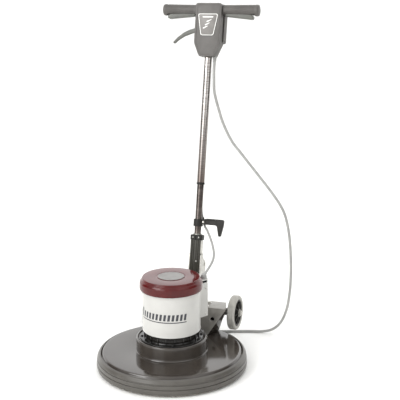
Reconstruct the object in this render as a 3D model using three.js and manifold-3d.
// High speed floor burnisher: a white motor on a charcoal cast deck with a rubber bumper, two
// transport wheels on a rear bracket, and a chrome handle that tilts back from its upright lock.
// Millimetres. +Z is up, the front faces -Y, +X is the machine's right-hand side seen from the
// front, and the origin is the centre of the pad's working face on the floor.
import * as THREE from "three";
import { ConvexGeometry } from "three/addons/geometries/ConvexGeometry.js";
import { mergeVertices } from "three/addons/utils/BufferGeometryUtils.js";
import Module from "manifold-3d";

const wasm = await Module();
wasm.setup();

// ---------------------------------------------------------------- driving dimensions
const gap = 0.3; // between pieces that touch
const pad = { radius: 254, height: 25 };
const driver = { radius: 240, top: 40, hubRadius: 45, hubTop: 56 };
const deck = { skirt: 261, wall: 3.5, rim: 250, top: 66, plate: 5, hole: 118, bottom: 8 };
const turret = { radius: 127, wall: 5, top: 117.5, seat: 111.7, bore: 90 };
const bumper = { radius: 270, bottom: 6, top: 61 };
const motor = { radius: 103.5, wall: 3, bottom: 144, top: 296, neck: 96, flange: 112 };
const cap = { radius: 112, lip: 103, bottom: 295, top: 338 };
const shaft = { radius: 12, top: 322 };
const capacitorBox = { angle: 60, reach: 142, half: 40, bottom: 168, top: 309 };
const wheel = { radius: 65, hub: 50, x: 157, half: 15, y: 261, z: 128, axle: 8 };
const bracket = { bottom: 66.3, top: 163, lugInner: 26, lugOuter: 34 };
const pivot = { y: 246, z: 215, pin: 7 };
const lean = THREE.MathUtils.degToRad(11.56); // upright lock position, measured from vertical
const quadrant = { radius: 38, half: 8 };
const socket = { half: 20, depth: 15, wall: 2, bottom: 42, top: 183 };
const lowerTube = { radius: 12.7, bore: 11, bottom: 150, top: 450 };
const upperTube = { radius: 14.3, bore: 13.2, bottom: 401.5, top: 905 };
const head = { half: 50, foot: 29, top: 1070, shoulder: 922, bottom: 874, front: -31, back: 38 };
const seam = { depth: 4, foot: 18, rearBottom: 926.3, rearHalf: 54.5 };
const grip = { axis: 1048, root: 19.5, end: 21, reach: 188 };
const swivelHook = { bottom: 235, top: 262, ring: 18 };
const cordRadius = 5.1;
const cableRadius = 4.3;
const coil = { x: -165, y: 430, inner: 66, outer: 118, bottom: 1.6, top: 53.2 };

// ---------------------------------------------------------------- finishes
const finish = (color, roughness, metalness) => ({ color, roughness, metalness });
const charcoalPaint = finish(0x56534e, 0.3, 0.35);
const whitePaint = finish(0xf2f2ee, 0.25, 0);
const maroonPlastic = finish(0x6b2a2a, 0.3, 0);
const greyPlastic = finish(0x807c78, 0.5, 0);
const greyRubber = finish(0x5d5a55, 0.7, 0);
const tyreRubber = finish(0xa3a097, 0.8, 0);
const blackPlastic = finish(0x24231f, 0.5, 0);
const blackSteel = finish(0x45433a, 0.35, 0.3);
const chrome = finish(0xd8dadb, 0.08, 1);
const zinc = finish(0xb4b2ad, 0.4, 0.9);
const steel = finish(0x9a9a98, 0.35, 1);
const copperIron = finish(0x8a6a4c, 0.5, 0.8);
const padFibre = finish(0xd8cfc0, 0.95, 0);
const cordJacket = finish(0xb8b8b6, 0.6, 0);
const badgeGrey = finish(0xa3a49c, 0.4, 0.4);

// ---------------------------------------------------------------- closed meshes and booleans
function closed(geometry) {
  for (const name of Object.keys(geometry.attributes)) {
    if (name !== "position") geometry.deleteAttribute(name);
  }
  const merged = mergeVertices(geometry, 1e-4);
  const corner = (i) => new THREE.Vector3().fromBufferAttribute(merged.attributes.position, i);
  const kept = [];
  let volume = 0;
  for (let i = 0; i < merged.index.count; i += 3) {
    const [a, b, c] = [0, 1, 2].map((k) => merged.index.getX(i + k));
    if (a === b || b === c || c === a) continue; // collapsed onto a lathe's axis
    kept.push(a, b, c);
    volume += corner(a).dot(corner(b).cross(corner(c)));
  }
  if (volume < 0) kept.reverse(); // faces point out
  merged.setIndex(kept);
  return merged;
}

function solid(geometry) {
  const shape = closed(geometry);
  const vertProperties = new Float32Array(shape.attributes.position.array);
  const triVerts = new Uint32Array(shape.index.array);
  return new wasm.Manifold(new wasm.Mesh({ numProp: 3, vertProperties, triVerts }));
}

function fromSolid(body) {
  const mesh = body.getMesh();
  const geometry = new THREE.BufferGeometry();
  geometry.setAttribute("position", new THREE.BufferAttribute(mesh.vertProperties, 3));
  geometry.setIndex(new THREE.BufferAttribute(mesh.triVerts, 1));
  return geometry;
}

const join = (...shapes) => fromSolid(shapes.map(solid).reduce((sum, next) => sum.add(next)));
const cut = (shape, ...tools) =>
  fromSolid(tools.map(solid).reduce((left, tool) => left.subtract(tool), solid(shape)));

// ---------------------------------------------------------------- shapes by direction
const vectors = (points) => points.map(([x, y]) => new THREE.Vector2(x, y));

// A profile of [radius, height] turned about Z; rings end where they started.
function turned(profile, segments = 40) {
  return new THREE.LatheGeometry(vectors(profile), segments).rotateX(Math.PI / 2);
}

function ring(inner, outer, bottom, top, segments) {
  return turned([[inner, bottom], [outer, bottom], [outer, top], [inner, top], [inner, bottom]], segments);
}

function rod(radius, bottom, top, segments = 20) {
  return new THREE.CylinderGeometry(radius, radius, top - bottom, segments)
    .rotateX(Math.PI / 2)
    .translate(0, 0, (bottom + top) / 2);
}

const rodAlongX = (radius, x0, x1, segments) => rod(radius, x0, x1, segments).rotateY(Math.PI / 2);
const rodAlongY = (radius, y0, y1, segments) => rod(radius, y0, y1, segments).rotateX(-Math.PI / 2);

function block(x0, x1, y0, y1, z0, z1) {
  return new THREE.BoxGeometry(x1 - x0, y1 - y0, z1 - z0)
    .translate((x0 + x1) / 2, (y0 + y1) / 2, (z0 + z1) / 2);
}

// An outline through the points, each corner rounded to about the given radius.
function rounded(points, radius) {
  const corners = vectors(points);
  const shape = new THREE.Shape();
  corners.forEach((corner, i) => {
    const before = corners.at(i - 1);
    const after = corners[(i + 1) % corners.length];
    const into = before.clone().sub(corner).setLength(Math.min(radius, before.distanceTo(corner) / 2.2));
    const out = after.clone().sub(corner).setLength(Math.min(radius, after.distanceTo(corner) / 2.2));
    into.add(corner);
    out.add(corner);
    if (i === 0) shape.moveTo(into.x, into.y);
    else shape.lineTo(into.x, into.y);
    shape.quadraticCurveTo(corner.x, corner.y, out.x, out.y);
  });
  return shape;
}

const sharp = (points) => new THREE.Shape(vectors(points));

function slab(shape, depth) {
  return new THREE.ExtrudeGeometry(shape, { depth, bevelEnabled: false, curveSegments: 3 });
}

// An outline in X and Z, between two distances back along Y.
const slabXZ = (shape, y0, y1) => slab(shape, y1 - y0).rotateX(Math.PI / 2).translate(0, y1, 0);
// An outline in Y and Z, between two distances along X.
const slabYZ = (shape, x0, x1) =>
  slab(shape, x1 - x0).rotateX(Math.PI / 2).rotateZ(Math.PI / 2).translate(x0, 0, 0);

// Half an outline, from the top of the +X side down, and the same on the -X side.
const mirrored = (points) => [...points, ...points.map(([x, z]) => [-x, z]).reverse()];

// The solid stretched round a set of corners.
const hull = (points) => new ConvexGeometry(points.map((p) => new THREE.Vector3(...p)));
const bothSides = (points) => points.flatMap(([x, y, z]) => [[x, y, z], [-x, y, z]]);

// A round bar bent along a smooth line through the points; it has twice halfSides faces round it.
function sweep(points, radius, steps, halfSides = 4) {
  const section = new THREE.Shape();
  section.absarc(0, 0, radius, 0, Math.PI * 2);
  const route = new THREE.CatmullRomCurve3(points.map((p) => new THREE.Vector3(...p)));
  return new THREE.ExtrudeGeometry(section, { extrudePath: route, steps, curveSegments: halfSides });
}

// ---------------------------------------------------------------- scene graph
const machine = new THREE.Group();
const handle = new THREE.Group(); // its Z runs up the tube from the tilt pivot, its Y points back
handle.position.set(0, pivot.y, pivot.z);
handle.rotation.x = -lean;
machine.add(handle);

function piece(group, name, geometry, look) {
  const shape = closed(geometry);
  shape.computeVertexNormals();
  const mesh = new THREE.Mesh(shape, new THREE.MeshStandardMaterial(look));
  mesh.name = name;
  group.add(mesh);
}

// Where a point of the handle (x, distance back, height up the tube) is on the machine.
function onHandle(x, back, up) {
  const point = new THREE.Vector3(x, back, up).applyEuler(handle.rotation).add(handle.position);
  return point.toArray();
}

// ---------------------------------------------------------------- deck and bumper
function deckHousing() {
  const inner = deck.skirt - deck.wall;
  const under = deck.top - deck.plate;
  return turned([
    [inner, deck.bottom], [deck.skirt, deck.bottom], [deck.skirt, 52], [deck.skirt - 3.5, 56],
    [deck.rim + 2, 57.5], [deck.rim, 61], [deck.rim - 3, 65.3], [deck.rim - 7, deck.top],
    [deck.hole, deck.top], [deck.hole, under], [deck.rim - 6, under], [inner, 50],
    [inner, deck.bottom],
  ], 36);
}

function motorTurret() {
  const { radius, wall, top, seat, bore } = turret;
  const foot = deck.top + gap;
  return turned([
    [radius - wall, foot], [radius + 6, foot], [radius + 1.2, foot + 3], [radius, foot + 9],
    [radius, top - 5], [radius - 2, top - 1.2], [radius - 6, top], [radius - 10, seat],
    [bore, seat], [bore, seat - 6], [radius - wall - 3, seat - 6], [radius - wall, seat - 9],
    [radius - wall, foot],
  ], 36);
}

function bumperRing() {
  const seat = deck.skirt + gap;
  return turned([
    [seat, 8], [seat + 4, bumper.bottom], [bumper.radius - 1, 10], [bumper.radius, 20],
    [bumper.radius, 36], [bumper.radius - 2.5, 43], [bumper.radius - 4, 51], [262, 58],
    [257.5, bumper.top], [254, 58.6], [deck.skirt - 3.1, 56.7], [seat, 52.4], [seat, 8],
  ], 36);
}

piece(machine, "deck_housing", deckHousing(), charcoalPaint);
piece(machine, "motor_turret", motorTurret(), charcoalPaint);
piece(machine, "bumper", bumperRing(), greyRubber);

// ---------------------------------------------------------------- motor
const coreRadius = motor.radius - motor.wall - gap; // what fits inside the motor shell

function lowerEndBell() {
  const seat = turret.seat + gap;
  return turned([
    [30, seat], [motor.flange, seat], [motor.flange, seat + 4], [motor.flange - 2, seat + 5],
    [motor.neck + 1.5, seat + 5.6], [motor.neck, seat + 8], [motor.neck, motor.bottom - gap],
    [coreRadius, motor.bottom - gap], [coreRadius, 158], [88, 158], [84, 124], [30, 124], [30, seat],
  ], 32);
}

function upperEndBell() {
  return turned([
    [30, 278], [40, 278], [44, 284], [coreRadius, 284], [coreRadius, 295], [92, 295],
    [88, 290], [30, 290], [30, 278],
  ], 32);
}

function motorCap() {
  const top = cap.top;
  return turned([
    [0, top], [cap.lip - 2, top], [cap.lip, top - 2], [cap.lip, top - 6],
    [cap.radius - 4.5, top - 10], [cap.radius - 1, top - 16], [cap.radius, cap.bottom + 14],
    [cap.radius, cap.bottom + gap], [motor.radius + gap, cap.bottom + gap],
    [motor.radius + gap, top - 18], [cap.lip - 4, top - 4], [0, top - 4],
  ], 32);
}

function coolingFan() {
  const blades = Array.from({ length: 8 }, (_, i) =>
    block(26, 84, -1.5, 1.5, 300, 318).rotateZ((i * Math.PI) / 4));
  return join(ring(shaft.radius + 0.5, 30, 299, 319, 20), ...blades);
}

piece(machine, "lower_end_bell", lowerEndBell(), blackPlastic);
piece(machine, "motor_shell", ring(coreRadius + gap, motor.radius, motor.bottom, motor.top, 32), whitePaint);
piece(machine, "stator", ring(60, coreRadius - 0.5, 172, 262, 24), copperIron);
piece(machine, "upper_end_bell", upperEndBell(), steel);
piece(machine, "motor_cap", motorCap(), maroonPlastic);
piece(machine, "cap_badge", rod(46.6, cap.top + gap, cap.top + 1.5, 32), badgeGrey);
piece(machine, "lower_bearing", ring(shaft.radius + 0.5, 29, 112, 123.7, 20), steel);
piece(machine, "upper_bearing", ring(shaft.radius + 0.5, 29, 278.3, 289.7, 20), steel);
piece(machine, "rotor", ring(shaft.radius + 0.5, 58, 176, 258, 20), steel);
piece(machine, "motor_shaft", rod(shaft.radius, 30, shaft.top, 20), steel);
piece(machine, "cooling_fan", coolingFan(), blackPlastic);

// ---------------------------------------------------------------- pad and its drive disc
function padDriver() {
  const bore = shaft.radius + 0.5;
  return turned([
    [bore, pad.height + gap], [driver.radius, pad.height + gap], [driver.radius, driver.top - 3],
    [driver.radius - 3, driver.top], [driver.hubRadius, driver.top],
    [driver.hubRadius - 3, driver.hubTop], [bore, driver.hubTop], [bore, pad.height + gap],
  ], 28);
}

const lockSeat = 14; // the pad's centre plug stays in, under the lock hub

function burnishingPad() {
  const { radius, height } = pad;
  return turned([
    [0, 0], [radius - 3, 0], [radius, 4], [radius, height - 4], [radius - 3, height],
    [42, height], [42, lockSeat], [0, lockSeat],
  ], 32);
}

piece(machine, "pad_driver", padDriver(), blackPlastic);
piece(machine, "burnishing_pad", burnishingPad(), padFibre);
piece(machine, "pad_lock_ring",
  turned([[0, lockSeat + gap], [41, lockSeat + gap], [41, pad.height], [0, pad.height]], 20), blackPlastic);

// ---------------------------------------------------------------- capacitor box on the motor
const boxAngle = THREE.MathUtils.degToRad(capacitorBox.angle);
const outward = (geometry) => geometry.rotateZ(boxAngle); // drawn along +X, then swung round

function capacitorCover() {
  const { reach, half, bottom, top } = capacitorBox;
  const wall = 3;
  const plan = (outer, side) => rounded([[80, -side], [outer, -side], [outer, side], [80, side]], 9);
  const body = slab(plan(reach, half), top - bottom).translate(0, 0, bottom);
  const hollow = slab(plan(reach - wall, half - wall), top - bottom - 2 * wall);
  return outward(cut(body,
    hollow.translate(0, 0, bottom + wall),
    rod(motor.radius + gap + 0.4, bottom - 5, cap.bottom, 40),
    rod(cap.radius + gap + 0.2, cap.bottom - 0.1, top + 5, 40),
    block(112, 134, -half - 2, -half + wall + 1, top - 13, top - 5))); // vent slot near the top
}

const capacitor = (side) => outward(rod(14, capacitorBox.bottom + 3.3, 266, 24).translate(123, side, 0));
const reliefEnd = [92.5, 108, 327];
const reliefFoot = [90, 95];

function cableRelief() {
  const dome = turned([[0, 309.3], [11, 309.3], [11, 318], [9, 324], [4, 327.5], [0, 328]], 20);
  const spout = sweep([[90, 96, 319], [91.3, 102, 323.2], [92.4, 107.6, 326.8]], 6.4, 6);
  return join(dome.translate(...reliefFoot, 0), spout);
}

piece(machine, "capacitor_cover", capacitorCover(), whitePaint);
piece(machine, "start_capacitor", capacitor(-18), blackPlastic);
piece(machine, "run_capacitor", capacitor(18), blackPlastic);
piece(machine, "motor_cable_relief", cableRelief(), cordJacket);

// ---------------------------------------------------------------- rear bracket and wheels
function pivotLug(side) {
  const { lugInner, lugOuter, top } = bracket;
  const outline = rounded([[222, top - 3], [270, top - 3], [263, 237], [229, 237]], 15);
  const inner = side > 0 ? lugInner : -lugOuter;
  return slabYZ(outline, inner, inner + lugOuter - lugInner);
}

function axleLug(side) {
  const outline = rounded([[206, 152], [262, 155], [280, 142], [278, 114], [260, 108], [212, 96]], 10);
  const arm = slabYZ(outline, side > 0 ? 104 : -116, side > 0 ? 116 : -104);
  const ends = side > 0 ? [104, 139.5] : [-139.5, -104];
  return join(arm, rodAlongX(14, ...ends, 24).translate(0, wheel.y, wheel.z));
}

function truckBracket() {
  const { bottom, top } = bracket;
  const casting = hull(bothSides([[144, 190, top], [122, 264, top], [82, 150, bottom], [108, 215, bottom]]));
  const hollow = hull(bothSides([[134, 199, 157], [114, 285, 157], [76, 161, 58], [100, 235, 58]]));
  const hole = (x) => rodAlongY(7, 140, 200, 16).translate(x, 0, 124);
  const shell = cut(casting, hollow, hole(95), hole(-95));
  return cut(join(shell, pivotLug(1), pivotLug(-1), axleLug(1), axleLug(-1)),
    rodAlongX(pivot.pin + gap, -60, 60, 24).translate(0, pivot.y, pivot.z),
    rodAlongX(wheel.axle + gap, -150, 150, 24).translate(0, wheel.y, wheel.z));
}

function lockQuadrant() {
  const { radius, half } = quadrant;
  const plate = rodAlongX(radius, -half, half, 40).translate(0, pivot.y, pivot.z);
  const foot = block(-half, half, 228, 264, bracket.top + gap, 200);
  const notch = (degrees) => block(-half - 1, half + 1, -5, 5, radius - 3, radius + 3)
    .rotateX(-THREE.MathUtils.degToRad(degrees) - lean)
    .translate(0, pivot.y, pivot.z);
  return cut(join(plate, foot), notch(0), notch(35), notch(60),
    rodAlongX(pivot.pin + gap, -half - 1, half + 1, 24).translate(0, pivot.y, pivot.z));
}

const onAxle = (geometry, x) => geometry.rotateY(Math.PI / 2).translate(x, wheel.y, wheel.z);

function tyre() {
  const { radius, hub, half } = wheel;
  const bead = hub + gap;
  return turned([
    [bead, -half + 2], [57, -half], [62, -half + 1.5], [radius, -half + 6], [radius, half - 6],
    [62, half - 1.5], [57, half], [bead, half - 2], [bead, -half + 2],
  ], 28);
}

function wheelHub() {
  const { hub, half, axle } = wheel;
  const bore = axle + gap;
  return turned([
    [bore, -half - 2], [17, -half - 2], [19, -9], [42, -8], [45, -12.5], [hub, -12.5],
    [hub, 12.5], [45, 12.5], [42, 8], [19, 9], [17, half + 2], [bore, half + 2], [bore, -half - 2],
  ], 28);
}

function axleNut() {
  const start = wheel.half + 2 + gap;
  return turned([[0, start], [12, start], [12, start + 6], [8, start + 10], [0, start + 11.5]], 6);
}

piece(machine, "truck_bracket", truckBracket(), charcoalPaint);
piece(machine, "pivot_pin", rodAlongX(pivot.pin, -40, 40, 20).translate(0, pivot.y, pivot.z), zinc);
piece(machine, "lock_quadrant", lockQuadrant(), blackSteel);
const axleReach = wheel.x + wheel.half + 2;
piece(machine, "wheel_axle", onAxle(rod(wheel.axle, -axleReach, axleReach, 20), 0), steel);
for (const [name, side] of [["right", 1], ["left", -1]]) {
  piece(machine, `tyre_${name}`, onAxle(tyre(), side * wheel.x), tyreRubber);
  piece(machine, `wheel_hub_${name}`, onAxle(wheelHub(), side * wheel.x), blackPlastic);
  const nut = side > 0 ? axleNut() : axleNut().rotateX(Math.PI);
  piece(machine, `axle_nut_${name}`, onAxle(nut, side * wheel.x), zinc);
}

// ---------------------------------------------------------------- yoke, socket and tubes
function yokeEar(side) {
  const outline = rounded([
    [-15, 133], [11, 133], [14, 114], [47, 98], [47, 34], [34, 4], [18, -22], [-12, -22], [-16, -6],
  ], 14);
  const inner = socket.half + gap;
  const plate = slabYZ(outline, side > 0 ? inner : -inner - 4, side > 0 ? inner + 4 : -inner);
  const oval = rodAlongX(8, -30, 30, 20).scale(1, 0.6, 1).translate(0, 31, 88);
  return cut(plate, rodAlongX(pivot.pin + gap, -30, 30, 24), oval);
}

function handleSocket() {
  const { half, depth, wall, bottom, top } = socket;
  return cut(block(-half, half, -depth, depth, bottom, top),
    block(wall - half, half - wall, wall - depth, depth - wall, bottom - 1, top + 1));
}

function socketCollar() {
  const { top } = socket;
  const body = rounded([[-23, -18], [23, -18], [23, 18], [-23, 18]], 6);
  return cut(slab(body, 19).translate(0, 0, top + gap), rod(lowerTube.radius + gap, top - 5, top + 25, 28));
}

const collarTop = socket.top + gap + 19;
const lowerBore = lowerTube.radius + gap;
piece(handle, "yoke_ear_right", yokeEar(1), zinc);
piece(handle, "yoke_ear_left", yokeEar(-1), zinc);
piece(handle, "handle_socket", handleSocket(), zinc);
piece(handle, "socket_front_cover",
  slabXZ(rounded([[-20, socket.bottom], [20, socket.bottom], [20, socket.top], [-20, socket.top]], 3),
    -socket.depth - gap - 2, -socket.depth - gap), blackSteel);
piece(handle, "socket_collar", socketCollar(), blackPlastic);
piece(handle, "collar_ring", ring(lowerBore, 16.5, collarTop + gap, collarTop + 5, 28), chrome);
piece(handle, "lower_tube", ring(lowerTube.bore, lowerTube.radius, lowerTube.bottom, lowerTube.top, 28), chrome);
piece(handle, "tube_ring", ring(lowerBore, 15.5, upperTube.bottom - 8.5, upperTube.bottom - gap, 28), blackPlastic);
piece(handle, "upper_tube", ring(upperTube.bore, upperTube.radius, upperTube.bottom, upperTube.top, 28), chrome);

function lowerCordHook() {
  const { bottom, top, ring: outer } = swivelHook;
  const arm = slabXZ(rounded([
    [15, 243], [15, 260], [32, 266], [97, 266], [102, 262], [101, 244], [92, 202], [84, 202],
    [76, 240], [70, 243],
  ], 5), -6.5, 6.5);
  return join(ring(lowerTube.radius + gap, outer, bottom, top, 28), arm);
}

piece(handle, "lower_cord_hook", lowerCordHook(), blackSteel);

// ---------------------------------------------------------------- operator head
const headOutline = (inset, bottom) => {
  const { half, foot, top, shoulder } = head;
  return rounded(mirrored([
    [half - inset, top - inset], [half - inset, shoulder], [foot - inset, bottom + inset],
  ]), 9);
};

function footOutline(inset) {
  const { half, foot, shoulder, bottom } = head;
  const slope = (half - foot) / (shoulder - bottom);
  const top = seam.rearBottom - gap - inset;
  return sharp(mirrored([
    [half - inset, top], [half - inset, shoulder], [foot - inset + slope * inset, bottom + inset],
  ]));
}

const leverSlot = () => block(-60, -40, -9, 9, 958, 1004);
const tubeHole = () => rod(upperTube.radius + gap, head.bottom - 5, head.bottom + 9, 28);

function headFrontCover() {
  const { front, bottom } = head;
  const body = join(slabXZ(headOutline(0, bottom), front, seam.depth), slabXZ(footOutline(0), front + 4, seam.foot));
  const hollow = join(slabXZ(headOutline(3, bottom), front + 3, seam.depth + 1),
    slabXZ(footOutline(3), front + 4, seam.foot - 3));
  const reliefHole = rod(6.6, bottom - 5, bottom + 9, 20).translate(25, 2, 0);
  return cut(body, hollow, tubeHole(), leverSlot(), reliefHole);
}

function headRearCover() {
  const outline = (inset) => {
    const { rearHalf, rearBottom } = seam;
    return rounded(mirrored([[rearHalf - inset, head.top - inset], [rearHalf - inset, rearBottom + inset]]), 9);
  };
  const body = slabXZ(outline(0), seam.depth + gap, head.back);
  const hollow = slabXZ(outline(3.5), seam.depth - 1, head.back - 3);
  const buttonHole = rodAlongY(8.5, 20, 45, 20).translate(0, 0, 1020);
  return cut(body, hollow, leverSlot(), buttonHole);
}

function handGrip(side) {
  const { root, end, reach, axis } = grip;
  const bar = turned([
    [0, head.half + gap], [root, head.half + gap], [root + 0.4, 100], [end, 170], [end, 181],
    [end - 2, 186], [end - 7, reach], [0, reach],
  ], 24).rotateY((side * Math.PI) / 2).translate(0, 0, axis);
  const slot = side > 0 ? block(54.5, 173, -12.5, 12.5, 1010, 1042) : block(-173, -54.5, -12.5, 12.5, 1010, 1042);
  const rearClearance = block(-seam.rearHalf - gap, seam.rearHalf + gap, seam.depth - 0.2, 40, 1000, 1100);
  return cut(bar, slot, rearClearance);
}

function trigger(side) {
  const outline = [[58, 1038], [158, 1032], [168, 1026], [168, 1016], [160, 1013.5], [150, 1015], [60, 1024]];
  return slabXZ(rounded(outline.map(([x, z]) => [side * x, z]), 4), -11, 11);
}

function releaseLever() {
  return slabXZ(rounded([
    [26, 990], [10, 992], [-59, 980], [-105, 967.5], [-128, 951], [-144, 927], [-136, 920],
    [-121, 941], [-100, 952.5], [-59, 964], [10, 976], [26, 980],
  ], 5), -5, 5);
}

function lockRod() {
  const shaftRod = rod(3, quadrant.radius + 15, 952, 16);
  const plunger = rod(4, quadrant.radius + 0.5, quadrant.radius + 20, 16);
  const fork = cut(block(-4, 4, -8.6, 8.6, 950, 996), block(-5, 5, -5.6, 5.6, 956, 993));
  return join(shaftRod, plunger, fork);
}

function badgePlate() {
  const { front } = head;
  return slabXZ(rounded(mirrored([[39, 1030], [25, 950]]), 8), front - 1.5, front - gap);
}

function upperCordHook() {
  const { back } = head;
  return slabYZ(rounded([
    [back + gap, 990], [back + 6, 990], [back + 7, 952], [66, 952], [69, 985], [76, 985],
    [76, 942], [back + gap, 938],
  ], 4), -12, 12);
}

piece(handle, "head_front_cover", headFrontCover(), greyPlastic);
piece(handle, "head_rear_cover", headRearCover(), greyPlastic);
piece(handle, "grip_right", handGrip(1), greyPlastic);
piece(handle, "grip_left", handGrip(-1), greyPlastic);
piece(handle, "badge_plate", badgePlate(), badgeGrey);
piece(handle, "power_switch", block(-22, 22, -27.5, -12, 998, 1034), blackPlastic);
piece(handle, "upper_cord_hook", upperCordHook(), greyPlastic);
piece(handle, "power_cord_relief",
  turned([[0, 856], [6, 856], [7.5, 873.5], [6.2, 874], [6.2, 882], [0, 882]], 20).translate(25, 2, 0), blackPlastic);
piece(handle, "trigger_right", trigger(1), blackPlastic);
piece(handle, "trigger_left", trigger(-1), blackPlastic);
piece(handle, "release_lever", releaseLever(), blackPlastic);
piece(handle, "lock_rod", lockRod(), steel);
piece(handle, "safety_button", rodAlongY(8, 30, 44, 20).translate(0, 0, 1020), blackPlastic);

// ---------------------------------------------------------------- cables
// The motor cable leaves the rear cover, runs down behind the tube and crosses to the motor.
const motorCableRoute = [
  onHandle(4, 24, seam.rearBottom - gap), onHandle(4, 23.8, 896), onHandle(3, 23.2, 866),
  onHandle(0, 19.6, 800), onHandle(0, 19.2, 680), onHandle(0, 19.2, 540), onHandle(0, 20.8, 420),
  onHandle(0, 23.6, 330), onHandle(4, 25.5, 280), onHandle(13, 23.5, 253),
  [24, 309, 438], [43, 290, 425], [65, 260, 400], [83, 230, 381], [95, 205, 366],
  [101, 175, 355], [99, 145, 344], [95.5, 124, 335], reliefEnd,
];

// The power cord drops from under the head, bows out beside the machine and ends in a coil
// on the floor behind the motor.
const powerCordRoute = [
  onHandle(25, 2, 855.7), [25, 412, 1016], [27, 407, 985], [28, 405, 950], [36, 405, 912],
  [47, 405, 875], [59, 405, 837], [79, 405, 792], [103, 405, 751], [131, 405, 718],
  [171, 405, 671], [218, 405, 616], [258, 405, 568], [290, 405, 524], [308, 405, 490],
  [322, 405, 440], [331, 405, 380], [336, 405, 310], [337, 405, 240], [333, 405, 170],
  [322, 405, 105], [300, 405, 52], [268, 404, 20], [228, 401, 7.5], [180, 392, 5.4],
  [100, 364, 5.3], [10, 332, 5.3], [-60, 317.5, 5.3], [-115.5, 315.2, 5.3],
];

function cordCoil() {
  const { inner, outer, bottom, top } = coil;
  return turned([
    [inner + 5, bottom], [outer - 5, bottom], [outer, bottom + 5], [outer, top - 5], [outer - 5, top],
    [inner + 5, top], [inner, top - 5], [inner, bottom + 5], [inner + 5, bottom],
  ], 32).translate(coil.x, coil.y, 0);
}

// A strap round the coil's section, seen end on in X (outward from the coil's axis) and Z.
function coilTie() {
  const strap = (grow) => sharp([
    [65 - grow, 1.1 - grow], [118.6 + grow, 1.1 - grow], [118.6 + grow, 53.6 + grow], [65 - grow, 53.6 + grow],
  ]);
  const loop = cut(slabXZ(strap(0.9), -8, 8), slabXZ(strap(0), -9, 9));
  return loop.rotateZ(THREE.MathUtils.degToRad(-150)).translate(coil.x, coil.y, 0);
}

function plug() {
  const body = turned([[0, -30], [7, -30], [9, -10], [17, -4], [17, 24], [14, 28], [0, 28]], 24);
  const blade = (x) => block(x - 0.8, x + 0.8, -3.2, 3.2, 26, 46);
  const whole = join(body, blade(-6.4), blade(6.4), rod(2.4, 26, 49, 12).translate(0, 9, 0));
  const height = coil.top + gap + 17;
  return whole.rotateX(-Math.PI / 2).rotateZ(-Math.PI / 2).translate(coil.x, coil.y + 92, height);
}

piece(machine, "motor_cable", sweep(motorCableRoute, cableRadius, 46), cordJacket);
piece(machine, "power_cord", sweep(powerCordRoute, cordRadius, 76), cordJacket);
piece(machine, "cord_coil", cordCoil(), cordJacket);
piece(machine, "coil_tie", coilTie(), blackPlastic);
piece(machine, "plug", plug(), blackPlastic);

export default machine;
